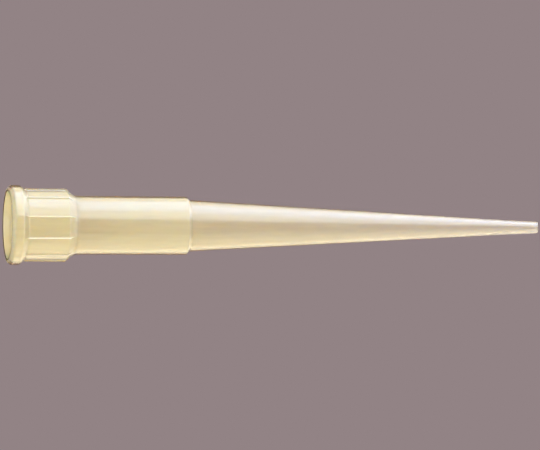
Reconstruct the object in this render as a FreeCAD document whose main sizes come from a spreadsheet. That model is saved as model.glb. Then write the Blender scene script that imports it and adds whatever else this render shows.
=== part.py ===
"""A pipette tip: one injection moulding of thin yellow polypropylene, standing on its mouth.

The tip is drawn along its own axis, X, with the mouth at X = 0 and the fine end at X = tip_length.
It is built the way its mould is: a turned cavity gives the outside, a core pin gives the bore,
and ten thin ribs are cut into the cavity round the collar. On its side it would roll, so its
Placement stands it on the flat of its mouth, with the fine end up.
"""

import FreeCAD, Part
import math
import os

import Sketcher

NODE = "pipette_tip"

# Millimetres, apart from the rib count. Every "_at" is a distance from the mouth along the axis.
DIMENSIONS = {
    "tip_length": 50.0,
    # rim: the thick bead round the mouth
    "rim_radius": 3.73,
    "rim_crest_end_at": 1.08,
    "rim_foot_at": 1.62,
    "rim_front_round": 0.4,
    "rim_back_round": 0.35,
    "rim_foot_round": 0.35,
    # collar: the wide part over the pipettor's nozzle
    "collar_radius": 3.25,
    "collar_end_at": 5.47,
    # shoulder: an S curve from the collar down to the barrel
    "shoulder_foot_at": 6.22,
    "shoulder_round": 0.35,
    "shoulder_hollow": 1.45,
    # barrel, the small outside step at its end, and the drawn-out cone
    "barrel_top_radius": 2.74,
    "barrel_end_radius": 2.71,
    "barrel_end_at": 16.8,
    "step_round": 0.12,
    "cone_top_radius": 2.4,
    "cone_top_at": 17.1,
    "cone_end_radius": 0.515,
    # core pin: lead-in, the straight land that grips the nozzle, and the tapered bore below it
    "lead_in_radius": 3.24,
    "lead_in_end_at": 0.75,
    "lead_in_round": 0.8,
    "lip_round": 0.05,
    "socket_radius": 2.6,
    "socket_end_at": 4.2,
    "throat_radius": 2.38,
    "throat_at": 6.7,
    "bore_end_radius": 2.16,
    "bore_step_radius": 2.04,
    "orifice_radius": 0.25,
    # ribs: thin fins along the collar, from the rim to the shoulder
    "rib_count": 10,
    "rib_crest_radius": 3.4,
    "rib_root_radius": 2.8,
    "rib_start_at": 1.1,
    "rib_crest_end_at": 5.47,
    "rib_foot_at": 6.1,
    "rib_width": 0.1,
}


def make_sheet(doc):
    """The driving dimensions, one row each: the name beside its value."""
    sheet = doc.addObject("Spreadsheet::Sheet", "dims")
    for row, (name, value) in enumerate(DIMENSIONS.items(), start=1):
        sheet.set(f"A{row}", name)
        sheet.set(f"B{row}", str(value))
        sheet.setAlias(f"B{row}", name)
    doc.recompute()
    return sheet


def origin_feature(body, role):
    return next(f for f in body.Origin.OriginFeatures if f.Role == role)


def draw_outline(body, sheet, name, corners):
    """A closed outline of straight lines in the plane of the axis (X) and the radius (Z).

    Each corner is (distance along the axis, radius), and each of the two is a cell's name or None for 0.
    """
    sketch = body.newObject("Sketcher::SketchObject", name)
    sketch.AttachmentSupport = [(origin_feature(body, "XZ_Plane"), "")]
    sketch.MapMode = "FlatFace"

    def value(cell):
        return sheet.get(cell) if cell else 0.0

    points = [FreeCAD.Vector(value(along), value(radius), 0) for along, radius in corners]
    for start, end in zip(points, points[1:] + points[:1]):
        sketch.addGeometry(Part.LineSegment(start, end), False)
    count = len(corners)
    for i, (along, radius) in enumerate(corners):
        sketch.addConstraint(Sketcher.Constraint("Coincident", i, 2, (i + 1) % count, 1))
        for kind, cell in (("DistanceX", along), ("DistanceY", radius)):
            pinned = sketch.addConstraint(Sketcher.Constraint(kind, -1, 1, i, 1, value(cell)))
            if cell:
                sketch.renameConstraint(pinned, f"{cell}_{kind[-1]}{i}")
                sketch.setExpression(f"Constraints.{cell}_{kind[-1]}{i}", f"{sheet.Name}.{cell}")
    return sketch


def turn(body, kind, name, sketch):
    """Revolve an outline once round the axis: a PartDesign Revolution adds, a Groove cuts."""
    feature = body.newObject(f"PartDesign::{kind}", name)
    feature.Profile = sketch
    feature.ReferenceAxis = (sketch, ["H_Axis"])
    feature.Angle = 360
    return feature


def round_rings(body, sheet, name, rings, radius_cell):
    """Fillet whole circular edges, each given as (distance along the axis, radius) in millimetres."""
    base = body.Tip
    edges = []
    for number, edge in enumerate(base.Shape.Edges, start=1):
        if not isinstance(edge.Curve, Part.Circle):
            continue
        found = (edge.Curve.Center.x, edge.Curve.Radius)
        if any(math.dist(found, ring) < 1e-4 for ring in rings):
            edges.append(f"Edge{number}")
    if len(edges) != len(rings):
        raise SystemExit(f"{name}: {len(edges)} edges found for {len(rings)} rings")
    fillet = body.newObject("PartDesign::Fillet", name)
    fillet.Base = (base, edges)
    fillet.setExpression("Radius", f"{sheet.Name}.{radius_cell}")
    body.Document.recompute()
    return fillet


def make_outside(body, sheet):
    """The cavity: rim, collar, shoulder, barrel, step and cone, turned as one solid."""
    outline = draw_outline(
        body,
        sheet,
        "outside_outline",
        [
            (None, None),
            (None, "rim_radius"),
            ("rim_crest_end_at", "rim_radius"),
            ("rim_foot_at", "collar_radius"),
            ("collar_end_at", "collar_radius"),
            ("shoulder_foot_at", "barrel_top_radius"),
            ("barrel_end_at", "barrel_end_radius"),
            ("cone_top_at", "cone_top_radius"),
            ("tip_length", "cone_end_radius"),
            ("tip_length", None),
        ],
    )
    turn(body, "Revolution", "outside", outline)
    body.Document.recompute()

    def ring(along, radius):
        return sheet.get(along) if along else 0.0, sheet.get(radius)

    for name, rings, radius_cell in (
        ("rim_front", [ring(None, "rim_radius")], "rim_front_round"),
        ("rim_back", [ring("rim_crest_end_at", "rim_radius")], "rim_back_round"),
        ("rim_foot", [ring("rim_foot_at", "collar_radius")], "rim_foot_round"),
        ("shoulder_crest", [ring("collar_end_at", "collar_radius")], "shoulder_round"),
        ("shoulder_foot", [ring("shoulder_foot_at", "barrel_top_radius")], "shoulder_hollow"),
        (
            "step_edges",
            [ring("barrel_end_at", "barrel_end_radius"), ring("cone_top_at", "cone_top_radius")],
            "step_round",
        ),
    ):
        round_rings(body, sheet, name, rings, radius_cell)


def make_bore(body, sheet):
    """The core pin: lead-in, nozzle socket, tapered bore, inner step and the long cone to the orifice."""
    outline = draw_outline(
        body,
        sheet,
        "bore_outline",
        [
            (None, None),
            (None, "lead_in_radius"),
            ("lead_in_end_at", "socket_radius"),
            ("socket_end_at", "socket_radius"),
            ("throat_at", "throat_radius"),
            ("barrel_end_at", "bore_end_radius"),
            ("cone_top_at", "bore_step_radius"),
            ("tip_length", "orifice_radius"),
            ("tip_length", None),
        ],
    )
    solid_volume = body.Shape.Volume
    turn(body, "Groove", "bore", outline)
    body.Document.recompute()
    if body.Shape.Volume > 0.9 * solid_volume:
        raise SystemExit("the core pin cut no bore")
    lead_in_end = (sheet.get("lead_in_end_at"), sheet.get("socket_radius"))
    round_rings(body, sheet, "lead_in_throat", [lead_in_end], "lead_in_round")
    round_rings(body, sheet, "lip_edge", [(0.0, sheet.get("lead_in_radius"))], "lip_round")


def make_ribs(body, sheet):
    """One fin along the collar, rooted in the wall, then repeated round the axis."""
    outline = draw_outline(
        body,
        sheet,
        "rib_outline",
        [
            ("rib_start_at", "rib_root_radius"),
            ("rib_start_at", "rib_crest_radius"),
            ("rib_crest_end_at", "rib_crest_radius"),
            ("rib_foot_at", "rib_root_radius"),
        ],
    )
    rib = body.newObject("PartDesign::Pad", "rib")
    rib.Profile = outline
    rib.SideType = "Symmetric"
    rib.setExpression("Length", f"{sheet.Name}.rib_width")
    body.Document.recompute()
    ribs = body.newObject("PartDesign::PolarPattern", "ribs")
    ribs.Originals = [rib]
    ribs.Axis = (outline, ["H_Axis"])
    ribs.Angle = 360
    ribs.setExpression("Occurrences", f"{sheet.Name}.rib_count")
    body.Tip = ribs
    body.Document.recompute()


def stand_up(body):
    """Turn the tip's axis upright, mouth down: the mouth's flat is then on Z = 0, round the origin."""
    upright = FreeCAD.Rotation(FreeCAD.Vector(0, 1, 0), -90)
    body.Placement = FreeCAD.Placement(FreeCAD.Vector(), upright)
    body.Document.recompute()


def check(doc, bodies):
    """Stop before anything is written if a feature failed or a shape isn't one sound solid."""
    for item in doc.Objects:
        if "Invalid" in item.State or "Error" in item.State:
            raise SystemExit(f"{item.Label} failed: {item.State}")
    for body in bodies:
        shape = body.Shape
        if shape.isNull() or not shape.isValid() or len(shape.Solids) != 1:
            raise SystemExit(f"{body.Label} is not one valid solid")


def main():
    doc = FreeCAD.newDocument("pipette_tip")
    sheet = make_sheet(doc)
    tip = doc.addObject("PartDesign::Body", "tip")
    tip.Label = NODE
    doc.recompute()
    make_outside(tip, sheet)
    make_bore(tip, sheet)
    make_ribs(tip, sheet)
    stand_up(tip)
    check(doc, [tip])

    os.makedirs("parts", exist_ok=True)
    tip.Shape.exportStep(os.path.join("parts", f"{tip.Label}.step"))
    box = tip.Shape.optimalBoundingBox(False)
    print(f"{tip.Label}: {tip.Shape.Volume:.2f} mm3, {len(tip.Shape.Faces)} faces")
    print(f"  box {box.XLength:.3f} x {box.YLength:.3f} x {box.ZLength:.3f} mm, from Z {box.ZMin:.4f}")


main()
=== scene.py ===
# %% [markdown]
# # A pipette tip in moulded polypropylene
#
# The tip is one thin-walled injection moulding, 50 mm long, that stands on its mouth with its fine end up.
# The construction model is already packed as a fixed frame. Nothing is fitted to it afterwards: every size
# below is in the frame's own axes, with the tip's axis along Z and the mouth at Z = 0.

# %% Load the frame
import math

import bpy
from mathutils import Matrix, Vector


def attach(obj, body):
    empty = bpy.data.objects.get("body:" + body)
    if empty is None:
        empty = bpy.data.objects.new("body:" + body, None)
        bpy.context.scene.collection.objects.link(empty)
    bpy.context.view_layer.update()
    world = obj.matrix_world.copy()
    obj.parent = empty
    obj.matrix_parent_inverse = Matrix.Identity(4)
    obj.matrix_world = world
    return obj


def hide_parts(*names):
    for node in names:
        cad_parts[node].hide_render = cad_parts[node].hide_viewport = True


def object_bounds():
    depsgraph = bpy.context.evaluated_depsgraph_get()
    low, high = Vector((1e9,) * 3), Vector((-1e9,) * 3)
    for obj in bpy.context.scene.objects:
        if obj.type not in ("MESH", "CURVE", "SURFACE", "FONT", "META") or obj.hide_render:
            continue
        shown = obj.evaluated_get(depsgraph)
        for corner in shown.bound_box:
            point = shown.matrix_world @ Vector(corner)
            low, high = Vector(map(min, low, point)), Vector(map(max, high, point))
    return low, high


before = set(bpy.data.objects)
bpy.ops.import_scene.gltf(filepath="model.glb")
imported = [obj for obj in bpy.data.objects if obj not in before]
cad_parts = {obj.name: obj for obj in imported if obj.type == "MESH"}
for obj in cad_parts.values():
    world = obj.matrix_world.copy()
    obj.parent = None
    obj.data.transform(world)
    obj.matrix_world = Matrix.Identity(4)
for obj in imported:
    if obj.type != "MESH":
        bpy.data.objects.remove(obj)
cad_low, cad_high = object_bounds()
MM = 0.001
print("construction box, mm:", [round(x / MM, 2) for x in (*cad_low, *cad_high)])

# %% [markdown]
# ## The section of the wall
#
# A moulded tip has two skins. The cavity of the mould gives the outside: a thick bead round the mouth, a
# collar, an S-shaped shoulder, a barrel, a small step and a long cone. The core pin gives the bore: a flared
# lead-in, the straight land that grips the pipettor's nozzle, and one long taper down to the orifice.
# The section could be drawn as a spline, but a toolmaker turns it from straight cuts with rounded corners,
# so it is written that way: one corner a line, with the radius that its edge is rounded to.

# %% The corners of the section: distance from the mouth, radius, rounding, in mm
TIP_LENGTH = cad_high.z / MM
RIM_RADIUS = cad_high.x / MM
OUTSIDE = [
    (0.0, RIM_RADIUS, 0.4),
    (1.08, RIM_RADIUS, 0.35),
    (1.62, 3.25, 0.35),
    (5.47, 3.25, 0.35),
    (6.22, 2.74, 1.45),
    (16.8, 2.71, 0.12),
    (17.1, 2.4, 0.12),
    (TIP_LENGTH, 0.515, 0.04),
]
BORE = [
    (TIP_LENGTH, 0.25, 0.03),
    (17.1, 2.04, 0.3),
    (16.8, 2.16, 0.3),
    (6.7, 2.38, 1.0),
    (4.2, 2.6, 1.0),
    (0.75, 2.6, 0.8),
    (0.0, 3.24, 0.05),
]
print("corners:", len(OUTSIDE), "outside,", len(BORE), "in the bore")

# %% [markdown]
# ## From corners to points
#
# Each corner becomes an arc that touches both of its straights. A holding point a little way past each end of
# the arc keeps the smooth shading from creeping out over the straight, as a holding edge does on a subdivided
# model. Long straights get extra points, so that no face of the finished wall is a long sliver.

# %% Round the corners and fill the straights
ARC_STEP = math.radians(9)
LONGEST_ROW = 1.0
HOLDING_GAP = 0.03
SAME_PLACE = 0.001


def rounded_corner(before, corner, after):
    """Points of one rounded corner, as (along, radius) vectors in mm, with a holding point at each end."""
    here, rounding = Vector(corner[:2]), corner[2]
    to_before = (Vector(before[:2]) - here).normalized()
    to_after = (Vector(after[:2]) - here).normalized()
    half_angle = to_before.angle(to_after) / 2
    setback = rounding / math.tan(half_angle)
    centre = here + (to_before + to_after).normalized() * rounding / math.sin(half_angle)
    sweep = math.pi - 2 * half_angle
    steps = max(2, math.ceil(sweep / ARC_STEP))
    first = here + to_before * setback - centre
    turn = math.copysign(sweep, first.x * to_after.y - first.y * to_after.x)
    arc = [centre + Matrix.Rotation(turn * i / steps, 2) @ first for i in range(steps + 1)]
    return [arc[0] + to_before * HOLDING_GAP, *arc, arc[-1] + to_after * HOLDING_GAP]


def filled(points):
    """The closed outline with extra points on its straights, so that no row of faces is over a length."""
    rows = []
    for start, end in zip(points, points[1:] + points[:1]):
        pieces = max(1, math.ceil((end - start).length / LONGEST_ROW))
        rows += [start.lerp(end, i / pieces) for i in range(pieces)]
    return rows


corners = OUTSIDE + BORE
section = []
for number, corner in enumerate(corners):
    section += rounded_corner(corners[number - 1], corner, corners[(number + 1) % len(corners)])
section = filled(section)
last_outside = max(i for i, p in enumerate(section) if p.x >= TIP_LENGTH - SAME_PLACE)
print("section:", len(section), "points, of which", last_outside + 1, "on the outer skin")

# %% [markdown]
# ## What the plastic is like at each point
#
# The finish needs to know two things that a bare mesh doesn't say: which skin a point is on, and how thick
# the wall is there. Both are cheap to work out from the two rows of corners, so the section carries them as
# attributes. Past a certain thickness more wall makes no difference to the eye, so the thickness stops there.

# %% The section as a mesh
MILKY_WALL = 0.44


def radius_at(skin, along):
    """The radius of one skin at a distance from the mouth, read between its corners, in mm."""
    for start, end in zip(skin, skin[1:]):
        low, high = sorted((start, end))
        if low[0] <= along <= high[0] and high[0] > low[0]:
            return low[1] + (high[1] - low[1]) * (along - low[0]) / (high[0] - low[0])
    return skin[-1][1]


def section_mesh(points):
    """The section as a plain line of points in the XZ plane, in metres, with its skin and wall at each."""
    mesh = bpy.data.meshes.new("section")
    mesh.from_pydata([(p.y * MM, 0, p.x * MM) for p in points], [], [])
    skin = mesh.attributes.new("outer_skin", "FLOAT", "POINT")
    skin.data.foreach_set("value", [float(i <= last_outside) for i in range(len(points))])
    walls = [min(radius_at(OUTSIDE, p.x) - radius_at(BORE, p.x), MILKY_WALL) * MM for p in points]
    thickness = mesh.attributes.new("wall_thickness", "FLOAT", "POINT")
    thickness.data.foreach_set("value", walls)
    print("wall, mm: from", round(min(walls) / MM, 3), "to", round(max(walls) / MM, 3))
    return mesh


# %% [markdown]
# ## One helper for nodes
#
# Node trees written out call by call are hard to read. This helper adds any node, gives its inputs values or
# links, and hands back the node, or the one output that is wanted.

# %% A helper that adds one node
MATH = "ShaderNodeMath"
RANGE = "ShaderNodeMapRange"


def add(tree, kind, inputs=None, out=None, **settings):
    """Add a node with its settings, give inputs values or links, and return it or one of its outputs."""
    node = tree.nodes.new(kind)
    for name, value in settings.items():
        setattr(node, name, value)
    for key, value in (inputs or {}).items():
        if isinstance(value, bpy.types.NodeSocket):
            tree.links.new(value, node.inputs[key])
        else:
            node.inputs[key].default_value = value
    return node if out is None else node.outputs[out]


# %% [markdown]
# ## Turning the section, with the ribs as part of the wall
#
# Ten fine ribs run along the collar. They could be ten little fins pushed into a lathed body, but the
# plastic is see-through, and every buried face would show. So Geometry Nodes rolls one grid into the closed
# wall: its rows follow the section, its columns go round the axis, and where a column meets a rib the outer
# skin is lifted to the rib's crest. The columns crowd towards each rib, so that a fin of an eighth of a
# millimetre keeps its round back, and they spread out in between.

# %% The sizes of the ribs, in metres, and the tree's inputs
RIB_SIZES = {
    "Rib Count": 10,
    "Columns per Rib": 24,
    "Rib Crest Radius": 3.4 * MM,
    "Rib Root Radius": 2.8 * MM,
    "Rib Half Width": 0.06 * MM,
    "Rib Start": 1.1 * MM,
    "Rib Crest End": 5.47 * MM,
    "Rib Foot": 6.1 * MM,
    "Rib Milkiness": 3.0,
}
CROWDING = 0.12
FIRST_RIB = math.pi
FIN_SHARPNESS = 3.0
WELD = 1e-7

# %% Build the tree that turns the section


def turning_tree():
    """Geometry Nodes: section points in, closed and ribbed wall out."""
    tree = bpy.data.node_groups.new("turned ribbed wall", "GeometryNodeTree")
    tree.interface.new_socket("Section", in_out="INPUT", socket_type="NodeSocketGeometry")
    for name, size in RIB_SIZES.items():
        kind = "NodeSocketInt" if isinstance(size, int) else "NodeSocketFloat"
        tree.interface.new_socket(name, in_out="INPUT", socket_type=kind)
    tree.interface.new_socket("Plastic", in_out="INPUT", socket_type="NodeSocketMaterial")
    tree.interface.new_socket("Wall", in_out="OUTPUT", socket_type="NodeSocketGeometry")
    given = add(tree, "NodeGroupInput").outputs

    # A flat grid: one row of points for each point of the section and one to close it.
    count = add(tree, "GeometryNodeAttributeDomainSize", {0: given["Section"]}, "Point Count")
    rows = add(tree, MATH, {0: count, 1: 1}, 0, operation="ADD")
    columns = add(tree, MATH, {0: given["Rib Count"], 1: given["Columns per Rib"]}, 0, operation="MULTIPLY")
    columns = add(tree, MATH, {0: columns, 1: 1}, 0, operation="ADD")
    grid = add(tree, "GeometryNodeMeshGrid", {"Vertices X": columns, "Vertices Y": rows}, "Mesh")
    index = add(tree, "GeometryNodeInputIndex", out=0)
    row = add(tree, MATH, {0: index, 1: rows}, 0, operation="FLOORED_MODULO")
    row = add(tree, MATH, {0: row, 1: count}, 0, operation="FLOORED_MODULO")
    column = add(tree, MATH, {0: index, 1: rows}, 0, operation="DIVIDE")
    column = add(tree, MATH, {0: column}, 0, operation="FLOOR")

    # The angle of each column, crowded towards the nearest rib. Halfway between two ribs nothing moves.
    turns = add(tree, MATH, {0: column, 1: given["Columns per Rib"]}, 0, operation="DIVIDE")
    nearest = add(tree, MATH, {0: turns, 1: 0.5}, 0, operation="ADD")
    nearest = add(tree, MATH, {0: nearest}, 0, operation="FLOOR")
    offset = add(tree, MATH, {0: turns, 1: nearest}, 0, operation="SUBTRACT")
    squared = add(tree, MATH, {0: offset, 1: offset}, 0, operation="MULTIPLY")
    spread = add(tree, MATH, {0: squared, 1: 4 * (1 - CROWDING), 2: CROWDING}, 0, operation="MULTIPLY_ADD")
    crowded = add(tree, MATH, {0: offset, 1: spread}, 0, operation="MULTIPLY")
    pitch = add(tree, MATH, {0: math.tau, 1: given["Rib Count"]}, 0, operation="DIVIDE")
    angle = add(tree, MATH, {0: nearest, 1: crowded}, 0, operation="ADD")
    angle = add(tree, MATH, {0: angle, 1: pitch, 2: FIRST_RIB}, 0, operation="MULTIPLY_ADD")

    # This row's point of the section: where it lies, which skin it is on, and how thick the wall is.
    found = []
    for kind, field in (
        ("FLOAT_VECTOR", add(tree, "GeometryNodeInputPosition", out=0)),
        ("FLOAT", add(tree, "GeometryNodeInputNamedAttribute", {"Name": "outer_skin"}, 0)),
        ("FLOAT", add(tree, "GeometryNodeInputNamedAttribute", {"Name": "wall_thickness"}, 0)),
    ):
        at_row = {"Geometry": given["Section"], "Index": row, "Value": field}
        found.append(add(tree, "GeometryNodeSampleIndex", at_row, "Value", data_type=kind))
    place, skin, thickness = found
    radius = add(tree, "ShaderNodeSeparateXYZ", {0: place}, "X")
    height = add(tree, "ShaderNodeSeparateXYZ", {0: place}, "Z")

    # The back of a rib, round across: 1 on its middle line and 0 past its half width.
    arc = add(tree, MATH, {0: crowded, 1: pitch}, 0, operation="MULTIPLY")
    arc = add(tree, MATH, {0: arc, 1: radius}, 0, operation="MULTIPLY")
    share = add(tree, MATH, {0: arc, 1: given["Rib Half Width"]}, 0, operation="DIVIDE")
    share = add(tree, MATH, {0: share, 1: share}, 0, operation="MULTIPLY")
    back = add(tree, MATH, {0: 1.0, 1: share}, 0, operation="SUBTRACT", use_clamp=True)
    back = add(tree, MATH, {0: back}, 0, operation="SQRT")

    # Along the collar the crest is straight, and at the shoulder it slopes down into the wall.
    slope = {"Value": height, "From Min": given["Rib Crest End"], "From Max": given["Rib Foot"],
             "To Min": given["Rib Crest Radius"], "To Max": given["Rib Root Radius"]}
    crest = add(tree, RANGE, slope, "Result")
    past_start = add(tree, MATH, {0: height, 1: given["Rib Start"]}, 0, operation="GREATER_THAN")
    before_foot = add(tree, MATH, {0: height, 1: given["Rib Foot"]}, 0, operation="LESS_THAN")
    along = add(tree, MATH, {0: past_start, 1: before_foot}, 0, operation="MULTIPLY")
    lift = add(tree, MATH, {0: crest, 1: radius}, 0, operation="SUBTRACT")
    lift = add(tree, MATH, {0: lift, 1: 0.0}, 0, operation="MAXIMUM")
    for share_of_lift in (back, along, skin):
        lift = add(tree, MATH, {0: lift, 1: share_of_lift}, 0, operation="MULTIPLY")
    reach = add(tree, MATH, {0: radius, 1: lift}, 0, operation="ADD")

    # What the finish reads: how milky the plastic is, and whether anything stands outside this point.
    depth = {0: lift, 1: given["Rib Milkiness"], 2: thickness}
    depth = add(tree, MATH, depth, 0, operation="MULTIPLY_ADD")
    fin = add(tree, MATH, {0: back, 1: FIN_SHARPNESS}, 0, operation="MULTIPLY", use_clamp=True)
    hollow = add(tree, MATH, {0: 1.0, 1: fin}, 0, operation="SUBTRACT")
    hollow = add(tree, MATH, {0: hollow, 1: along}, 0, operation="MULTIPLY")
    open_to_air = add(tree, MATH, {0: 1.0, 1: hollow}, 0, operation="SUBTRACT")
    outermost = add(tree, MATH, {0: skin, 1: open_to_air}, 0, operation="MULTIPLY")

    # Roll the grid round the axis, carry the two values, and weld the seams shut.
    rolled = add(tree, "ShaderNodeCombineXYZ", {"X": reach, "Z": height}, 0)
    rolled = {"Vector": rolled, "Angle": angle}
    rolled = add(tree, "ShaderNodeVectorRotate", rolled, 0, rotation_type="Z_AXIS")
    wall = add(tree, "GeometryNodeSetPosition", {"Geometry": grid, "Position": rolled}, 0)
    for name, value in (("wall_thickness", depth), ("outermost", outermost)):
        stored = {"Geometry": wall, "Name": name, "Value": value}
        wall = add(tree, "GeometryNodeStoreNamedAttribute", stored, 0, data_type="FLOAT", domain="POINT")
    wall = add(tree, "GeometryNodeMergeByDistance", {"Geometry": wall, "Distance": WELD}, 0)
    wall = add(tree, "GeometryNodeSetShadeSmooth", {"Geometry": wall}, 0)
    wall = add(tree, "GeometryNodeRealizeInstances", {0: wall}, 0)
    wall = add(tree, "GeometryNodeSetMaterial", {"Geometry": wall, "Material": given["Plastic"]}, 0)
    add(tree, "NodeGroupOutput", {"Wall": wall})
    print("turning tree:", len(tree.nodes), "nodes")
    return tree


# %% [markdown]
# ## The plastic
#
# Tips are moulded in natural polypropylene, a half-crystalline plastic: light goes through it, but the
# crystals scatter some on the way, so a thick wall looks milky and a thin one almost clear. A little
# pigment makes this one pale yellow. The mould is polished, so the surface is glossy with soft highlights.
# Glass with a flat haze would make the collar too clear and the fine end too dull, so one shader mixes clear
# and milky by the thickness of the wall, from the attribute that the section carries.

# %% Colours


def linear(hex_colour):
    """An sRGB hex colour as the linear RGBA that Blender works in."""
    parts = [int(hex_colour[i : i + 2], 16) / 255 for i in (1, 3, 5)]
    return (*[c / 12.92 if c <= 0.04045 else ((c + 0.055) / 1.055) ** 2.4 for c in parts], 1.0)


PALE_YELLOW = "#F7E8BE"
NEARLY_CLEAR = "#F7F0E2"
PIGMENT = "#E0C088"
# Dark brown for the painted shade on the sharp inner lip of the mouth.
LIP_SHADE_BROWN = "#2E241C"
print("pale yellow, linear:", [round(c, 3) for c in linear(PALE_YELLOW)[:3]])

# %% [markdown]
# ## How clear the wall is
#
# What goes straight through falls away by a fixed share for each tenth of a millimetre, which is an
# exponential. The melt also leaves faint streaks along the way it flowed, from the mouth to the fine end.
# They are noise about half a millimetre wide, stretched along the axis, and they vary the wall a little.

# %% The clearness of the wall
HAZE_PER_METRE = 1900.0
CLEAR_WALL = 0.14 * MM
CLEAREST = 0.86
STREAK_WIDTH = 0.6 * MM
STREAK = 0.12


def clearness(tree, flow):
    """How much of the light goes straight through, from 0 to 1."""
    wall = add(tree, "ShaderNodeAttribute", out="Fac", attribute_name="wall_thickness")
    noise = {"Vector": flow, "Scale": 1.0 / STREAK_WIDTH, "Detail": 3.0, "Roughness": 0.6}
    streaks = add(tree, "ShaderNodeTexNoise", noise, "Fac")
    uneven = add(tree, MATH, {0: streaks, 1: 2 * STREAK, 2: 1.0 - STREAK}, 0, operation="MULTIPLY_ADD")
    wall = add(tree, MATH, {0: wall, 1: uneven}, 0, operation="MULTIPLY")
    loss = {0: wall, 1: -HAZE_PER_METRE, 2: HAZE_PER_METRE * CLEAR_WALL}
    loss = add(tree, MATH, loss, 0, operation="MULTIPLY_ADD")
    clear = add(tree, MATH, {0: loss}, 0, operation="EXPONENT")
    return add(tree, MATH, {0: clear, 1: CLEAREST}, 0, operation="MINIMUM")


# %% [markdown]
# ## Walls seen edge-on
#
# Towards the edge of a round clear wall the eye looks along the skin, not into the milky plastic: all that is
# left is gloss and bent light, which draws a clean edge round the tip. Layer Weight says how far the round
# has turned away. It reads the round itself, not the small fins on it, and it drives only clearness, gloss
# and coat. Ends and steps that face along the axis are left out, as they are flat, not round.

# %% The edges of the round
GLOSSY_EDGE = 0.64
BARE_EDGE = 0.706
EDGE_BLUR = 0.06
ROUND_UP_TO, FLAT_FROM = 0.7, 0.95


def edges_of_round(tree, place, outer):
    """Two masks, 1 near the edge of the round and 0 elsewhere: where all is gloss, and where it is bare."""
    flat = add(tree, "ShaderNodeVectorMath", {0: place, 1: (1, 1, 0)}, 0, operation="MULTIPLY")
    outward = add(tree, "ShaderNodeVectorMath", {0: flat}, 0, operation="NORMALIZE")
    facing = add(tree, "ShaderNodeLayerWeight", {"Blend": 0.5, "Normal": outward}, "Facing")
    normal = add(tree, "ShaderNodeNewGeometry", out="Normal")
    lengthwise = add(tree, "ShaderNodeSeparateXYZ", {0: normal}, "Z")
    lengthwise = add(tree, MATH, {0: lengthwise}, 0, operation="ABSOLUTE")
    upright = {"Value": lengthwise, "From Min": ROUND_UP_TO, "From Max": FLAT_FROM,
               "To Min": 1.0, "To Max": 0.0}
    upright = add(tree, RANGE, upright, "Result")
    upright = add(tree, MATH, {0: upright, 1: outer}, 0, operation="MULTIPLY")
    masks = []
    for start in (GLOSSY_EDGE, BARE_EDGE):
        turned = {"Value": facing, "From Min": start - EDGE_BLUR, "From Max": start + EDGE_BLUR}
        turned = add(tree, RANGE, turned, "Result", interpolation_type="SMOOTHSTEP")
        masks.append(add(tree, MATH, {0: turned, 1: upright}, 0, operation="MULTIPLY"))
    return masks


# %% [markdown]
# ## The whole finish
#
# The collar is the yellowest part, and the drawn-out fine end nearly colourless. The surface of the cone gets
# smoother towards the end, where the steel was polished most. Faint lengthwise polishing marks, an eighth of
# a millimetre apart, break the highlights. A hairline of painted shade, dark brown without gloss, sits on the
# sharp inner lip, standing in for the dark line that bent light draws there. Colour along the way through the
# plastic comes from absorption in its volume.

# %% The material
FLOW_STRETCH = 0.08
MARK_WIDTH = 0.12 * MM
MARK_DEPTH = 0.002 * MM
# How far up from the mouth the painted lip shade reaches.
LIP_START, LIP_END = 0.04 * MM, 0.08 * MM
POLISH_FROM, POLISH_TO = 30 * MM, 48 * MM
MOULDED_ROUGHNESS, POLISHED_ROUGHNESS, EDGE_ROUGHNESS = 0.22, 0.08, 0.06
PALER_FROM, PALER_TO = 12 * MM, 50 * MM
EDGE_CLEARNESS = 1.0
PLAIN_SPECULAR = 0.5
POLYPROPYLENE_IOR, COAT_IOR = 1.49, 1.8
COAT_ROUGHNESS = 0.2
GLOW_DEPTH, GLOW_REACH = 2 * MM, (1.0, 0.8, 0.45)
PIGMENT_PER_METRE = 160.0


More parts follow.
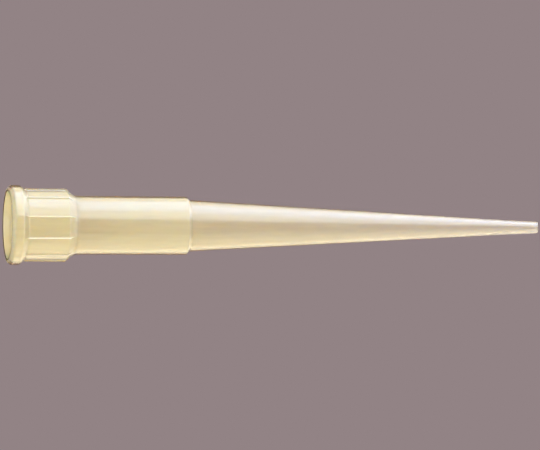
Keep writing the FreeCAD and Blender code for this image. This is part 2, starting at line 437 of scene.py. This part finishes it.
def moulded_polypropylene():
    """Natural polypropylene tinted yellow: milky where the wall is thick, clear at the fine end."""
    material = bpy.data.materials.new("moulded_polypropylene")
    material.use_nodes = True
    tree = material.node_tree
    tree.nodes.clear()
    place = add(tree, "ShaderNodeTexCoord", out="Object")
    height = add(tree, "ShaderNodeSeparateXYZ", {0: place}, "Z")
    flow = add(tree, "ShaderNodeMapping", {"Vector": place, "Scale": (1.0, 1.0, FLOW_STRETCH)}, 0)
    outer = add(tree, "ShaderNodeAttribute", out="Fac", attribute_name="outermost")

    # The sharp inner lip at the mouth, which gets painted shade and loses its gloss, and the edges of the
    # round.
    inner = add(tree, MATH, {0: 1.0, 1: outer}, 0, operation="SUBTRACT")
    lip_shade = add(tree, RANGE, {"Value": height, "From Min": LIP_END, "From Max": LIP_START}, "Result")
    lip_shade = add(tree, MATH, {0: lip_shade, 1: inner}, 0, operation="MULTIPLY")
    glossy, bare = edges_of_round(tree, place, outer)
    bare = add(tree, MATH, {0: bare, 1: lip_shade}, 0, operation="MAXIMUM")
    coated = add(tree, MATH, {0: 1.0, 1: bare}, 0, operation="SUBTRACT")
    shine = add(tree, MATH, {0: coated, 1: PLAIN_SPECULAR}, 0, operation="MULTIPLY")

    # Clearness and roughness.
    clear = add(tree, "ShaderNodeMix", {0: glossy, 2: clearness(tree, flow), 3: EDGE_CLEARNESS}, 0)
    polish = {"Value": height, "From Min": POLISH_FROM, "From Max": POLISH_TO,
              "To Min": MOULDED_ROUGHNESS, "To Max": POLISHED_ROUGHNESS}
    polish = add(tree, RANGE, polish, "Result")
    polish = add(tree, "ShaderNodeMix", {0: glossy, 2: polish, 3: EDGE_ROUGHNESS}, 0)

    # Colour, paler towards the fine end, with painted shade on the inner lip.
    paler = add(tree, RANGE, {"Value": height, "From Min": PALER_FROM, "From Max": PALER_TO}, "Result")
    colour = {0: paler, 6: linear(PALE_YELLOW), 7: linear(NEARLY_CLEAR)}
    colour = add(tree, "ShaderNodeMix", colour, 2, data_type="RGBA")
    # Painted shade: the sharp inner lip turns dark brown.
    colour = add(tree, "ShaderNodeMix", {0: lip_shade, 6: colour, 7: linear(LIP_SHADE_BROWN)}, 2, data_type="RGBA")

    # Polishing marks.
    marks = add(tree, "ShaderNodeTexNoise", {"Vector": flow, "Scale": 1.0 / MARK_WIDTH, "Detail": 2.0}, "Fac")
    marks = add(tree, "ShaderNodeBump", {"Strength": 1.0, "Distance": MARK_DEPTH, "Height": marks}, 0)

    skin = {
        "Base Color": colour,
        "Roughness": polish,
        "IOR": POLYPROPYLENE_IOR,
        "Normal": marks,
        "Specular IOR Level": shine,
        "Transmission Weight": clear,
        "Subsurface Weight": 1.0,
        "Subsurface Radius": GLOW_REACH,
        "Subsurface Scale": GLOW_DEPTH,
        "Coat Weight": coated,
        "Coat Roughness": COAT_ROUGHNESS,
        "Coat IOR": COAT_IOR,
        "Coat Normal": marks,
    }
    skin = add(tree, "ShaderNodeBsdfPrincipled", skin, 0)
    pigment = {"Color": linear(PIGMENT), "Density": PIGMENT_PER_METRE}
    tint = add(tree, "ShaderNodeVolumeAbsorption", pigment, 0)
    add(tree, "ShaderNodeOutputMaterial", {"Surface": skin, "Volume": tint})
    print(material.name, "has", len(tree.nodes), "nodes")
    return material


plastic = moulded_polypropylene()

# %% [markdown]
# ## Making the moulding
#
# The tree runs once on the section, and what comes out is kept as a plain mesh, so the piece has no modifier
# left on it. Its object stays at the origin, unturned: its place is in its mesh, as the patterns expect. The
# piece rides on the part's one body and stands for its one construction solid.

# %% Make the moulding


def moulded_tip(points, material):
    """Run the tree on the section and keep the result as a plain mesh."""
    source = bpy.data.objects.new("section", section_mesh(points))
    bpy.context.scene.collection.objects.link(source)
    tree = turning_tree()
    turning = source.modifiers.new("turning", "NODES")
    turning.node_group = tree
    values = {**RIB_SIZES, "Plastic": material}
    for item in tree.interface.items_tree:
        if item.in_out == "INPUT" and item.name in values:
            turning[item.identifier] = values[item.name]
    evaluated = source.evaluated_get(bpy.context.evaluated_depsgraph_get())
    mesh = bpy.data.meshes.new_from_object(evaluated)
    bpy.data.objects.remove(source)
    piece = bpy.data.objects.new("moulded_tip", mesh)
    bpy.context.scene.collection.objects.link(piece)
    return piece


tip = moulded_tip(section, plastic)
print("moulding:", len(tip.data.vertices), "points,", len(tip.data.polygons), "faces")
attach(tip, "root")
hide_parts("pipette_tip")

# %% [markdown]
# ## The floor
#
# The tip stands on a pale card with a soft shadow. A card that ran to the horizon would cut the picture in
# two, so this one fades into the backdrop a hand's width away. The main camera looks up from a little below
# the card, so the card shows only from above, and only to rays that reach the eye: the lamps under it still
# light the tip.

# %% The floor card
CARD_GREY = "#A39A9B"
CARD_RADIUS = 0.02
CARD_END = 0.15
FLOOR_HALF = 6.0


def rays_to_the_eye(tree):
    """1 for rays that come from the camera, straight or by way of gloss or clear plastic, else 0."""
    ray = add(tree, "ShaderNodeLightPath").outputs
    eye = add(tree, MATH, {0: ray["Is Camera Ray"], 1: ray["Is Glossy Ray"]}, 0, operation="MAXIMUM")
    return add(tree, MATH, {0: eye, 1: ray["Is Transmission Ray"]}, 0, operation="MAXIMUM")


def floor_card():
    """A card seen only from above, solid near the tip and gone a hand's width away."""
    material = bpy.data.materials.new("pale_card")
    material.use_nodes = True
    tree = material.node_tree
    tree.nodes.clear()
    below = add(tree, "ShaderNodeNewGeometry", out="Backfacing")
    solid = add(tree, MATH, {0: 1.0, 1: below}, 0, operation="SUBTRACT")
    solid = add(tree, MATH, {0: solid, 1: rays_to_the_eye(tree)}, 0, operation="MULTIPLY")
    place = add(tree, "ShaderNodeTexCoord", out="Object")
    away = add(tree, "ShaderNodeVectorMath", {0: place}, "Value", operation="LENGTH")
    near = {"Value": away, "From Min": CARD_RADIUS, "From Max": CARD_END, "To Min": 1.0, "To Max": 0.0}
    near = add(tree, RANGE, near, "Result", interpolation_type="SMOOTHSTEP")
    solid = add(tree, MATH, {0: solid, 1: near}, 0, operation="MULTIPLY")
    card = add(tree, "ShaderNodeBsdfDiffuse", {"Color": linear(CARD_GREY)}, 0)
    gone = add(tree, "ShaderNodeBsdfTransparent", out=0)
    surface = add(tree, "ShaderNodeMixShader", {0: solid, 1: gone, 2: card}, 0)
    add(tree, "ShaderNodeOutputMaterial", {"Surface": surface})
    return material


floor_mesh = bpy.data.meshes.new("floor")
floor_corners = [(x * FLOOR_HALF, y * FLOOR_HALF, 0) for x, y in ((-1, -1), (1, -1), (1, 1), (-1, 1))]
floor_mesh.from_pydata(floor_corners, [], [(0, 1, 2, 3)])
floor_mesh.materials.append(floor_card())
floor = bpy.data.objects.new("floor", floor_mesh)
bpy.context.scene.collection.objects.link(floor)

# %% [markdown]
# ## Directions round the tip
#
# Lamps and camera are placed as they are in a studio: by how far round the tip they stand and how high.
# Azimuth 0 is in front, -90 is to the left of the standing tip, and elevation 90 is overhead.

# %% Where the camera looks from
VIEW_AZIMUTH, VIEW_ELEVATION = -4.0, -8.8


def way_to(azimuth, elevation):
    """The direction from the tip to something, where azimuth 0 is in front and elevation 90 is above."""
    a, e = math.radians(azimuth), math.radians(elevation)
    return Vector((math.sin(a) * math.cos(e), -math.cos(a) * math.cos(e), math.sin(e)))


to_camera = way_to(VIEW_AZIMUTH, VIEW_ELEVATION)
print("way to the camera:", [round(x, 3) for x in to_camera])

# %% [markdown]
# ## The room
#
# The eye sees one plain backdrop in every direction. Gloss and clear plastic show it too, from whichever side
# the tip is looked at, so a clear wall is never darker than what lies behind it. All other rays see only a
# little even light, which fills the shadows.

# %% The world
BACKDROP = "#928385"
FILL = 0.2


def studio_world():
    """A plain backdrop for the eye, for gloss and for clear plastic, and some fill light for the rest."""
    world = bpy.data.worlds.new("studio")
    world.use_nodes = True
    tree = world.node_tree
    tree.nodes.clear()
    backdrop = add(tree, "ShaderNodeBackground", {"Color": linear(BACKDROP), "Strength": 1.0}, 0)
    fill = add(tree, "ShaderNodeBackground", {"Color": (1, 1, 1, 1), "Strength": FILL}, 0)
    both = add(tree, "ShaderNodeMixShader", {0: rays_to_the_eye(tree), 1: fill, 2: backdrop}, 0)
    add(tree, "ShaderNodeOutputWorld", {"Surface": both})
    return world


bpy.context.scene.world = studio_world()

# %% [markdown]
# ## The lamps
#
# Small clear things are lit with large soft boxes close by, as each box also shows as a highlight along the
# barrel. Here each lamp is given by the angle it fills as seen from the tip, and by how bright its white
# front is, so moving one farther off would change nothing. A cool key stands on the left, warmer and weaker
# boxes on the right, and cards in front, above and below fill in. None is so strong that the pale plastic
# loses its colour.

# %% Lamps
MIDDLE = Vector((0, 0, cad_high.z / 2))
LAMP_DISTANCE = 4.0
DAYLIGHT = "#DAE7FF"
WHITE = "#FFFFFF"
WARM = "#FFF3D0"
AMBER = "#FFC890"
SOFTBOXES = (
    # name, azimuth, elevation, width and height in degrees, brightness, colour
    ("key_softbox", -88, 8, 50, 40, 3.07, DAYLIGHT),
    ("key_sky", -90, 52, 80, 45, 1.94, DAYLIGHT),
    ("front_left_card", -45, 8, 30, 40, 1.76, WHITE),
    ("back_left_card", -128, 8, 30, 40, 1.27, WARM),
    ("low_softbox", 90, 8, 60, 40, 1.42, WARM),
    ("low_back_card", 130, 8, 30, 40, 1.17, WARM),
    ("front_right_card", 45, 8, 30, 40, 0.78, WARM),
    ("front_card", 0, 8, 40, 40, 0.39, AMBER),
    ("low_sky", 100, 52, 80, 45, 0.88, WARM),
    ("low_ground", 100, -38, 80, 45, 0.69, WHITE),
    ("back_sky", 180, 52, 80, 45, 0.88, WARM),
    ("back_ground", 180, -38, 80, 45, 0.88, WARM),
    ("front_sky", 0, 52, 80, 45, 0.78, WHITE),
    ("front_ground", 0, -42, 80, 45, 2.15, WHITE),
    ("mouth_card", 0, -85, 36, 36, 2.93, WHITE),
)


def softbox(name, azimuth, elevation, wide, tall, brightness, colour):
    """A soft lamp that faces the tip. At brightness 1 its front is as bright as plain white."""
    way = way_to(azimuth, elevation)
    light = bpy.data.lights.new(name, "AREA")
    light.shape = "RECTANGLE"
    light.size = 2 * LAMP_DISTANCE * math.tan(math.radians(wide / 2))
    light.size_y = 2 * LAMP_DISTANCE * math.tan(math.radians(tall / 2))
    light.energy = brightness * math.pi * light.size * light.size_y
    light.color = linear(colour)[:3]
    lamp = bpy.data.objects.new(name, light)
    lamp.location = MIDDLE + way * LAMP_DISTANCE
    lamp.rotation_mode = "QUATERNION"
    lamp.rotation_quaternion = way.to_track_quat("Z", "Y")
    bpy.context.scene.collection.objects.link(lamp)


for lamp in SOFTBOXES:
    softbox(*lamp)
print("lamps:", len(SOFTBOXES))

# %% [markdown]
# ## The camera
#
# The tip is looked at across its length, from a little below its mouth, so that the mouth shows as a narrow
# oval. The camera lies on its side: the tip's axis runs across the picture, mouth to the left. A long lens
# from nearly two metres off keeps both ends at the same scale.

# %% Camera
DISTANCE = 1.9
FRAME_WIDTH = 50.36 * MM
ROLL = math.radians(0.29)
AIM_HEIGHT = 24.73 * MM
AIM_SHIFT = 0.11 * MM
SENSOR = 36
CLIP_START, CLIP_END = 0.01, 100
right = (Vector((0, 0, 1)) - to_camera * to_camera.z).normalized()
up = to_camera.cross(right)
right, up = right * math.cos(ROLL) + up * math.sin(ROLL), up * math.cos(ROLL) - right * math.sin(ROLL)
camera_data = bpy.data.cameras.new("camera")
camera_data.sensor_width = SENSOR
camera_data.lens = SENSOR * DISTANCE / FRAME_WIDTH
camera_data.clip_start, camera_data.clip_end = CLIP_START, CLIP_END
camera = bpy.data.objects.new("camera", camera_data)
stand = Matrix((right, up, to_camera)).transposed().to_4x4()
stand.translation = Vector((0, 0, AIM_HEIGHT)) + up * AIM_SHIFT + to_camera * DISTANCE
camera.matrix_world = stand
bpy.context.scene.collection.objects.link(camera)
bpy.context.scene.camera = camera
bpy.context.scene.view_settings.view_transform = "Standard"
print("lens, mm:", round(camera_data.lens))
